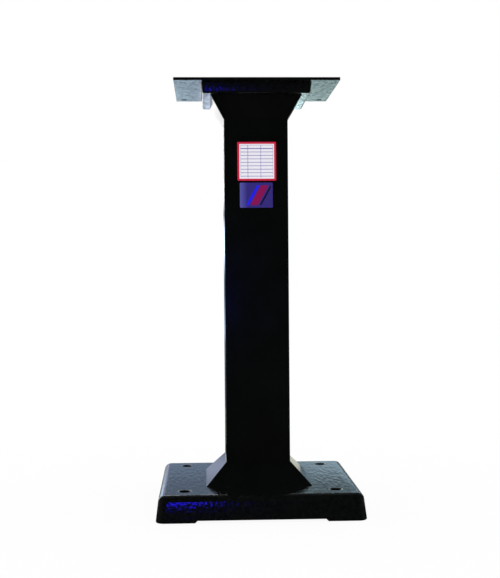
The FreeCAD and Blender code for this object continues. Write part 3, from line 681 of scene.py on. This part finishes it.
def four_round(piece):
    """Copy a piece to the four places round the stand's axis and join the copies."""
    select_only(piece)
    for quarter in (1, 2, 3):
        copy = piece.copy()
        copy.data = piece.data.copy()
        copy.data.transform(Matrix.Rotation(quarter * math.pi / 2, 4, "Z"))
        bpy.context.scene.collection.objects.link(copy)
        copy.select_set(True)
    bpy.ops.object.join()


def finish_piece(piece, node, material, smooth=30):
    """Give a modelled piece its finish, smooth its round faces and put it in its node's place."""
    piece.data.materials.clear()
    piece.data.materials.append(material)
    select_only(piece)
    bpy.ops.object.shade_smooth_by_angle(angle=math.radians(smooth))
    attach(piece, BODY)
    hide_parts(node)


# One ripple of a weld bead: parts of its length, and the bead's size at the end of each.
RIPPLE = ((0.3, 0.985), (0.45, 1.0), (0.25, 0.9))
BEAD_END = 0.55


def lay_bead(node, ripple):
    """The weld bead along the rear edge of a plate: its section, drawn out ripple by ripple."""
    points = [vertex.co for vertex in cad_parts[node].data.vertices]
    points = [point for point in points if point.y > abs(point.x) + 0.01]
    start, end = min(point.x for point in points), max(point.x for point in points)
    corner = max(points, key=lambda point: point.y).copy()
    corner.x = start
    plate_toe = min(points, key=lambda point: point.y).copy()
    wall_toe = max(points, key=lambda point: abs(point.z - corner.z)).copy()
    plate_toe.x = wall_toe.x = start
    chord = wall_toe - plate_toe
    middle = (wall_toe + plate_toe) / 2
    radius = 1.22 * chord.length
    inward = (corner - middle) - (corner - middle).project(chord)
    centre = middle + inward.normalized() * math.sqrt(radius ** 2 - (chord.length / 2) ** 2)
    bpy.ops.object.select_all(action="DESELECT")
    bpy.ops.mesh.primitive_circle_add(
        vertices=72, radius=radius, fill_type="NGON", location=centre, rotation=(0, math.pi / 2, 0))
    bead = newest(f"{node}_beads")
    open_mesh(bead)
    for toe, other in ((plate_toe, wall_toe), (wall_toe, plate_toe)):
        along = (toe - corner).normalized()
        away = (corner - other) - (corner - other).project(along)
        cut_at(corner, away.normalized(), clear_outer=True)
    bpy.ops.mesh.select_all(action="SELECT")
    share = BEAD_END
    bpy.ops.transform.resize(value=(1, share, share), center_override=corner)
    count = round((end - start) / ripple)
    for number in range(count):
        for part, wanted in RIPPLE:
            wanted *= 0.97 + 0.03 * math.sin(1.7 * number)
            if number == count - 1 and part == RIPPLE[-1][0]:
                wanted = BEAD_END
            bpy.ops.mesh.extrude_region_move(
                TRANSFORM_OT_translate={"value": (part * (end - start) / count, 0, 0)})
            change = wanted / share
            bpy.ops.transform.resize(value=(1, change, change), center_override=corner)
            share = wanted
    close_mesh()
    return bead


def corner_place(node):
    """Give the middle of a node's piece on the right or at the right rear, and the node's low and high."""
    points = [vertex.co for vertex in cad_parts[node].data.vertices]
    near = [point for point in points if point.x > 0.02 and point.y > -0.02]
    middle = tuple((min(p[i] for p in near) + max(p[i] for p in near)) / 2 for i in (0, 1))
    levels = [point.z for point in points]
    return middle, min(levels), max(levels)


# ---- operators

class STAND_OT_castings(bpy.types.Operator):
    """Paint the cast base and head"""
    bl_idname = "stand.castings"
    bl_label = "Paint Castings"

    def execute(self, context):
        settings = context.scene.stand_paint
        size, height = settings.pebble_size, settings.grain_height
        coat_node("base_casting", cast_paint(
            "base_paint", pebble=1.4 * size, height=1.5 * height, crown=(0.015, 0.038, 0.7 * MM), dull=0.12,
            level_share=0.15, ripple=settings.ripple_height, brow=(0.162, 0.182, 1.0 * MM)))
        coat_node("head_casting", cast_paint(
            "head_paint", pebble=size, height=1.4 * height, crown=(0.8075, 0.7872, 1.1 * MM), dull=0.22))
        return {"FINISHED"}


class STAND_OT_column(bpy.types.Operator):
    """Paint the four column panels and their seams"""
    bl_idname = "stand.column"
    bl_label = "Paint Column"

    def execute(self, context):
        material = sheet_paint()
        for name in COLUMN_NODES:
            coat_node(name, material)
        return {"FINISHED"}


class STAND_OT_plates(bpy.types.Operator):
    """Finish the steel plates inside the flares"""
    bl_idname = "stand.plates"
    bl_label = "Finish Plates"

    def execute(self, context):
        for node in ("column_foot_plate", "column_head_plate"):
            coat_node(node, mill_steel(f"{node}_steel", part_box(node)[1].x))
        return {"FINISHED"}


class STAND_OT_washers(bpy.types.Operator):
    """Finish the flat washers and model the spring washers with their slanted slits"""
    bl_idname = "stand.washers"
    bl_label = "Model Washers"

    def execute(self, context):
        zinc = zinc_plate()
        coat_node("base_flat_washers", zinc)
        node = "base_spring_washers"
        centre, low, high = corner_place(node)
        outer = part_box(node)[1].y - centre[1]
        inner = 5.3 * MM
        slit, slant = math.radians(14), math.radians(9)
        bpy.ops.object.select_all(action="DESELECT")
        bpy.ops.mesh.primitive_plane_add(
            size=1, location=(centre[0] + (inner + outer) / 2, centre[1], (low + high) / 2),
            rotation=(math.pi / 2, 0, 0))
        bpy.context.object.scale = (outer - inner, high - low, 1)
        washer = newest("spring_washers")
        open_mesh(washer)
        bpy.ops.mesh.select_all(action="SELECT")
        bpy.ops.mesh.spin(steps=56, angle=2 * math.pi - slit, center=(*centre, 0), axis=(0, 0, 1))
        close_mesh()
        choose(open_mesh(washer), "verts", lambda point: point.co.z > (low + high) / 2)
        bpy.ops.transform.rotate(value=slant, orient_axis="Z", center_override=(*centre, high))
        close_mesh()
        modify(
            washer, "BEVEL", width=0.2 * MM, segments=2, limit_method="ANGLE",
            angle_limit=math.radians(40))
        four_round(washer)
        finish_piece(washer, node, zinc)
        return {"FINISHED"}


class STAND_OT_bolts(bpy.types.Operator):
    """Model the four column bolts with their dished heads and rolled threads"""
    bl_idname = "stand.bolts"
    bl_label = "Model Bolts"

    def execute(self, context):
        settings = context.scene.stand_fasteners
        node = "base_bolts"
        centre, low, high = corner_place(node)
        radius = 5 * MM
        seat = low + 6.4 * MM
        bolt = hexagon("column_bolts", centre, 16 * MM, low, seat, "low")
        choose(open_mesh(bolt), "faces", lambda face: (
            face.normal.z < -0.9 and face.calc_center_median().z < low + TOUCH))
        bpy.ops.mesh.inset(thickness=1.3 * MM)
        bpy.ops.transform.translate(value=(0, 0, 0.4 * MM))
        close_mesh()
        plain_end = seat + settings.bolt_plain
        shank = round_bar("shank", centre, seat - 0.5 * MM, plain_end, 0.97 * radius)
        thread = threaded_bar("thread", centre, plain_end - 0.8 * MM, high, radius, settings.bolt_pitch)
        taper_end(thread, centre, high, 0.75 * MM, POINT_SHARE)
        combine(bolt, shank, "UNION")
        combine(bolt, thread, "UNION")
        four_round(bolt)
        finish_piece(bolt, node, zinc_plate())
        return {"FINISHED"}


class STAND_OT_screws(bpy.types.Operator):
    """Model the four countersunk head screws with their sockets and threads"""
    bl_idname = "stand.screws"
    bl_label = "Model Head Screws"

    def execute(self, context):
        settings = context.scene.stand_fasteners
        node = "head_screws"
        centre, low, high = corner_place(node)
        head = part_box(node)[1].x - centre[0]
        radius = 4 * MM
        under_head = high - (head - radius)
        screw = round_bar("countersunk_screws", centre, under_head, high, radius, head)
        choose(open_mesh(screw), "edges", lambda edge: all(point.co.z > high - TOUCH for point in edge.verts))
        bpy.ops.mesh.bevel(offset=0.15 * MM, segments=2)
        close_mesh()
        reach = settings.socket_flats / math.sqrt(3)
        socket = round_bar("socket", centre, high - 3 * MM, high + MM, reach, sides=6)
        lip = 0.3 * MM
        mouth = round_bar("mouth", centre, high - lip, high + lip, reach - lip, reach + lip)
        thread = threaded_bar("thread", centre, low, under_head + 0.6 * MM, radius, settings.screw_pitch)
        taper_end(thread, centre, low, 0.65 * MM, POINT_SHARE)
        combine(screw, thread, "UNION")
        combine(screw, socket, "DIFFERENCE")
        combine(screw, mouth, "DIFFERENCE")
        four_round(screw)
        finish_piece(screw, node, black_oxide())
        return {"FINISHED"}


class STAND_OT_nuts(bpy.types.Operator):
    """Model the weld nuts on both plates"""
    bl_idname = "stand.nuts"
    bl_label = "Model Weld Nuts"

    def execute(self, context):
        steel = mill_steel("weld_nut_steel", weld_reach=1.0)
        sizes = (
            ("foot_weld_nuts", "high", 17 * MM, 5.15 * MM),
            ("head_weld_nuts", "low", 14 * MM, 4.15 * MM),
        )
        for node, chamfer_end, flats, bore in sizes:
            centre, low, high = corner_place(node)
            nut = hexagon(f"{node}_turned", centre, flats, low, high, chamfer_end)
            combine(nut, round_bar("bore", centre, low - MM, high + MM, bore, sides=48), "DIFFERENCE")
            four_round(nut)
            finish_piece(nut, node, steel)
        return {"FINISHED"}


class STAND_OT_welds(bpy.types.Operator):
    """Model the rippled weld beads round both plates"""
    bl_idname = "stand.welds"
    bl_label = "Model Weld Beads"

    def execute(self, context):
        metal = weld_metal()
        for node in ("foot_plate_welds", "head_plate_welds"):
            bead = lay_bead(node, context.scene.stand_fasteners.ripple)
            four_round(bead)
            finish_piece(bead, node, metal, smooth=60)
        return {"FINISHED"}


class STAND_OT_labels(bpy.types.Operator):
    """Print the two labels on the front panel"""
    bl_idname = "stand.labels"
    bl_label = "Print Labels"

    def execute(self, context):
        settings = context.scene.stand_labels
        coat_node("upper_label", card_print(settings))
        coat_node("lower_label", badge_print(settings))
        return {"FINISHED"}


class STAND_OT_stage(bpy.types.Operator):
    """Lay the floor, set the light and stand the camera"""
    bl_idname = "stand.stage"
    bl_label = "Set Stage"

    def execute(self, context):
        settings = context.scene.stand_stage
        lay_floor(settings)
        hang_screen(settings)
        light_world(context.scene, settings)
        hang_lamp(
            "glint_lamp", (-0.204, -2.2, 0.38), aim=(0, 0, 0.4), size=0.08, power=1.2,
            colour=(0.02, 0.012, 1.0))
        stand_camera(context.scene, settings)
        context.scene.view_settings.view_transform = "Standard"
        return {"FINISHED"}


# ---- stage

def mixed_shaders(tree, factor, first, second):
    """Mix two shaders and give the output."""
    return place(tree, "ShaderNodeMixShader", {0: factor, 1: first, 2: second}).outputs["Shader"]


def lay_floor(settings):
    """Lay a white floor, clear from below. The gloss sees it white behind the stand and dark in front."""
    bpy.ops.object.select_all(action="DESELECT")
    bpy.ops.mesh.primitive_plane_add(size=2 * settings.floor_half, location=(0, 0, 0))
    floor = bpy.context.object
    floor.name = "studio_floor"
    material, tree, surface, coords = new_material("studio_floor")
    surface["Base Color"].default_value = shade(settings.floor_colour)
    surface["Roughness"].default_value = 0.9
    surface["Specular IOR Level"].default_value = 0.0
    axes = axes_of(tree, coords)
    reach = place(tree, "ShaderNodeVectorMath", {0: coords}, operation="LENGTH").outputs["Value"]
    path = tree.nodes.new("ShaderNodeLightPath").outputs
    sharp = path["Is Glossy Ray"]
    seen = maths(tree, "MAXIMUM", path["Is Camera Ray"], path["Is Transmission Ray"])
    far = spread_to(tree, reach, 0.25, 1.0, settings.floor_white, 1.0)
    share = maths(tree, "MAXIMUM", times(tree, seen, far), sharp)
    mirrored = spread_to(tree, axes["Y"], 0.5, 0.82, 0.02, settings.far_floor)
    dark_strip = within(tree, axes["X"], -0.085, 0.035)
    mirrored = times(tree, mirrored, maths(tree, "SUBTRACT", 1.0, dark_strip))
    level = maths(tree, "MULTIPLY_ADD", maths(tree, "SUBTRACT", mirrored, 1.0), sharp, 1.0)
    tone = mixed(tree, sharp, WHITE, (0.96, 1.0, 0.86, 1))
    white = place(tree, "ShaderNodeEmission", {"Color": tone, "Strength": level}).outputs["Emission"]
    lit = mixed_shaders(tree, share, tree.nodes["Principled BSDF"].outputs["BSDF"], white)
    clear = tree.nodes.new("ShaderNodeBsdfTransparent").outputs["BSDF"]
    below = tree.nodes.new("ShaderNodeNewGeometry").outputs["Backfacing"]
    lit = mixed_shaders(tree, below, lit, clear)
    tree.links.new(lit, tree.nodes["Material Output"].inputs["Surface"])
    floor.data.materials.append(material)


# Brightness of the screen by height in metres, as a share of its brightest.
SCREEN_STEPS = (
    (0.00, 0.25), (0.20, 0.27), (0.28, 0.23), (0.38, 0.16),
    (0.43, 0.18), (0.48, 0.40), (0.54, 0.82), (0.60, 0.86),
    (0.66, 0.80), (0.76, 0.97), (1.04, 0.97), (1.10, 0.05),
)
SCREEN_LEFT_STEPS = (
    (0.00, 0.25), (0.13, 0.26), (0.18, 0.36), (0.28, 0.30),
    (0.38, 0.16), (0.43, 0.18), (0.48, 0.40), (0.54, 0.52),
    (0.60, 0.42), (0.70, 0.38), (0.76, 0.29), (0.80, 0.38),
    (0.86, 0.66), (0.90, 0.97), (1.04, 0.97), (1.10, 0.05),
)
# Further changes of its brightness. Each is the product of a spread over X and one over Z.
SCREEN_CHANGES = (
    ((-0.70, -0.42, 3.4, 0.0), (0.40, 0.50, 1.0, 0.0)),
    ((-0.41, -0.36, -0.38, 0.0), (0.11, 0.14, 1.0, 0.0)),
    ((-0.33, -0.28, 0.0, 1.0), (0.22, 0.26, -0.85, 0.0)),
)
SCREEN_LEFT = -1.8
SCREEN_RIGHT = 1.3


def share_at(tree, height, steps):
    """Give the share at a height, from steps of heights and shares."""
    top = steps[-1][0]
    stops = [(level / top, (share, share, share, 1)) for level, share in steps]
    return axes_of(tree, stepped(tree, maths(tree, "DIVIDE", height, top), stops))["X"]


def hang_screen(settings):
    """Hang a screen behind the stand that only the gloss sees, darker low down than high up."""
    top = SCREEN_STEPS[-1][0]
    bpy.ops.object.select_all(action="DESELECT")
    bpy.ops.mesh.primitive_plane_add(
        size=1, location=((SCREEN_LEFT + SCREEN_RIGHT) / 2, settings.screen_reach, top / 2),
        rotation=(math.pi / 2, 0, 0))
    bpy.context.object.scale = (SCREEN_RIGHT - SCREEN_LEFT, top, 1)
    screen = newest("studio_screen")
    material = bpy.data.materials.new("studio_screen")
    material.use_nodes = True
    tree = material.node_tree
    tree.nodes.clear()
    axes = axes_of(tree, tree.nodes.new("ShaderNodeTexCoord").outputs["Object"])

    def over(axis, *ends):
        """Spread a place along an axis to a range."""
        return spread_to(tree, axes[axis], *ends)

    def changed(shares, *factors):
        """Raise or lower the shares by the product of the factors."""
        return maths(tree, "MULTIPLY_ADD", shares, times(tree, *factors), shares)

    shares = share_at(tree, axes["Z"], SCREEN_STEPS)
    apart = maths(tree, "SUBTRACT", share_at(tree, axes["Z"], SCREEN_LEFT_STEPS), shares)
    shares = maths(tree, "MULTIPLY_ADD", apart, over("X", -0.30, -0.26, 1.0, 0.0), shares)
    aside = maths(tree, "ABSOLUTE", maths(tree, "SUBTRACT", axes["X"], 0.07))
    middle = spread_to(tree, aside, 0.165, 0.18, 1.0, 0.0)
    shares = changed(shares, middle, over("Z", 0.485, 0.52), over("X", 0.0, 0.15, 0.65, 1.8))
    fading = maths(tree, "ADD", over("Z", 0.28, 0.39, 0.1, -0.45), over("Z", 0.45, 0.485, 0.0, 0.45))
    steeper = maths(tree, "ADD", over("Z", 0.28, 0.39, 1.2, -0.82), over("Z", 0.45, 0.485, 0.0, 0.82))
    apart = maths(tree, "SUBTRACT", steeper, fading)
    shares = changed(shares, maths(tree, "MULTIPLY_ADD", apart, over("X", 0.1, 0.3), fading))
    for across, upward in SCREEN_CHANGES:
        shares = changed(shares, over("X", *across), over("Z", *upward))
    slit = times(tree, within(tree, axes["X"], -0.089, 0.011), over("Z", 0.66, 0.70))
    high_dark = times(tree, over("X", -0.24, -0.15), over("Z", 0.6, 0.66, 0.0, -0.94))
    shares = changed(shares, high_dark, maths(tree, "SUBTRACT", 1.0, slit))
    level = times(tree, shares, settings.screen_level)
    edge = mixed(tree, over("X", -0.5, -0.42), (0.76, 1.0, 1.08, 1), (0.88, 1.0, 1.15, 1))
    left = mixed(tree, over("X", -0.32, -0.24), edge, (0.74, 1.0, 1.2, 1))
    tone = mixed(tree, over("X", -0.15, 0.25), left, (0.72, 1.0, 1.0, 1))
    low_blue = mixed(tree, over("Z", 0.38, 0.5, 1.0, 0.0), WHITE, (1.0, 1.0, 1.2, 1))
    tone = mixed(tree, 1.0, tone, low_blue, "MULTIPLY")
    violet = times(tree, within(tree, axes["X"], -0.05, 0.07), over("Z", 0.48, 0.49))
    tone = mixed(tree, violet, tone, mixed(tree, 1.0, tone, (1.0, 0.86, 0.97, 1), "MULTIPLY"))
    tone = mixed(tree, over("Z", 0.6, 0.75), tone, WHITE)
    glow = place(tree, "ShaderNodeEmission", {"Color": tone, "Strength": level}).outputs["Emission"]
    clear = tree.nodes.new("ShaderNodeBsdfTransparent").outputs["BSDF"]
    path = tree.nodes.new("ShaderNodeLightPath").outputs
    lit = mixed_shaders(tree, path["Is Glossy Ray"], clear, glow)
    tree.links.new(lit, tree.nodes.new("ShaderNodeOutputMaterial").inputs["Surface"])
    screen.data.materials.append(material)


def light_world(scene, settings):
    """White for the camera. The gloss sees a dark room, darkest in front, with a soft light overhead."""
    scene.world = bpy.data.worlds.new("studio")
    scene.world.use_nodes = True
    tree = scene.world.node_tree
    tree.nodes.clear()
    axes = axes_of(tree, tree.nodes.new("ShaderNodeTexCoord").outputs["Generated"])
    path = tree.nodes.new("ShaderNodeLightPath").outputs
    beside = spread_to(
        tree, maths(tree, "ABSOLUTE", axes["X"]), 0.55, 0.95, settings.front_level, settings.side_level)
    above = spread_to(tree, axes["Z"], 0.5, 0.8, 0.0, settings.roof_level)
    glow = maths(tree, "MAXIMUM", beside, times(tree, above, spread_to(tree, axes["Y"], 0.15, 0.35)))
    plain = maths(tree, "MAXIMUM", settings.room_level, path["Is Camera Ray"])
    change = maths(tree, "SUBTRACT", glow, settings.room_level)
    level = maths(tree, "MULTIPLY_ADD", path["Is Glossy Ray"], change, plain)
    light = place(tree, "ShaderNodeBackground", {"Color": WHITE, "Strength": level}).outputs["Background"]
    tree.links.new(light, tree.nodes.new("ShaderNodeOutputWorld").inputs["Surface"])


def hang_lamp(name, stand, aim, size, power, colour):
    """Hang a square lamp at a place and aim it at a point."""
    lamp = bpy.data.lights.new(name, "AREA")
    lamp.size = size
    lamp.energy = power
    lamp.color = colour
    holder = bpy.data.objects.new(name, lamp)
    holder.location = stand
    holder.rotation_euler = (Vector(aim) - Vector(stand)).to_track_quat("-Z", "Y").to_euler()
    bpy.context.scene.collection.objects.link(holder)


def stand_camera(scene, settings):
    """Stand the camera in its place, turned, tilted and rolled."""
    camera = bpy.data.cameras.new("camera")
    camera.sensor_fit = "VERTICAL"
    camera.sensor_height = 36
    camera.lens = settings.camera_lens
    holder = bpy.data.objects.new("camera", camera)
    yaw = Matrix.Rotation(-settings.camera_yaw, 4, "Z")
    tilt = Matrix.Rotation(math.pi / 2 + settings.camera_pitch, 4, "X")
    roll = Matrix.Rotation(settings.camera_roll, 4, "Z")
    holder.matrix_world = Matrix.Translation(settings.camera_place) @ yaw @ tilt @ roll
    scene.collection.objects.link(holder)
    scene.camera = holder


# ---- panel and main

class STAND_PT_sidebar(bpy.types.Panel):
    bl_idname = "STAND_PT_sidebar"
    bl_label = "Grinder Stand"
    bl_space_type = "VIEW_3D"
    bl_region_type = "UI"
    bl_category = "Grinder Stand"

    def draw(self, context):
        for step in STEPS:
            self.layout.operator(step.bl_idname)
        for name, group in SETTINGS.items():
            for setting in group.__annotations__:
                self.layout.prop(getattr(context.scene, name), setting)


STEPS = (
    STAND_OT_castings,
    STAND_OT_column,
    STAND_OT_plates,
    STAND_OT_washers,
    STAND_OT_bolts,
    STAND_OT_screws,
    STAND_OT_nuts,
    STAND_OT_welds,
    STAND_OT_labels,
    STAND_OT_stage,
)
SETTINGS = {
    "stand_paint": PaintSettings,
    "stand_metals": MetalSettings,
    "stand_fasteners": FastenerSettings,
    "stand_labels": LabelSettings,
    "stand_stage": StageSettings,
}
CLASSES = (*SETTINGS.values(), *STEPS, STAND_PT_sidebar)


def register():
    for item in CLASSES:
        bpy.utils.register_class(item)
    for name, group in SETTINGS.items():
        setattr(bpy.types.Scene, name, PointerProperty(type=group))


def unregister():
    for name in SETTINGS:
        delattr(bpy.types.Scene, name)
    for item in reversed(CLASSES):
        bpy.utils.unregister_class(item)


def main():
    register()
    bpy.ops.stand.castings()
    bpy.ops.stand.column()
    bpy.ops.stand.plates()
    bpy.ops.stand.washers()
    bpy.ops.stand.bolts()
    bpy.ops.stand.screws()
    bpy.ops.stand.nuts()
    bpy.ops.stand.welds()
    bpy.ops.stand.labels()
    bpy.ops.stand.stage()


if __name__ == "__main__":
    main()
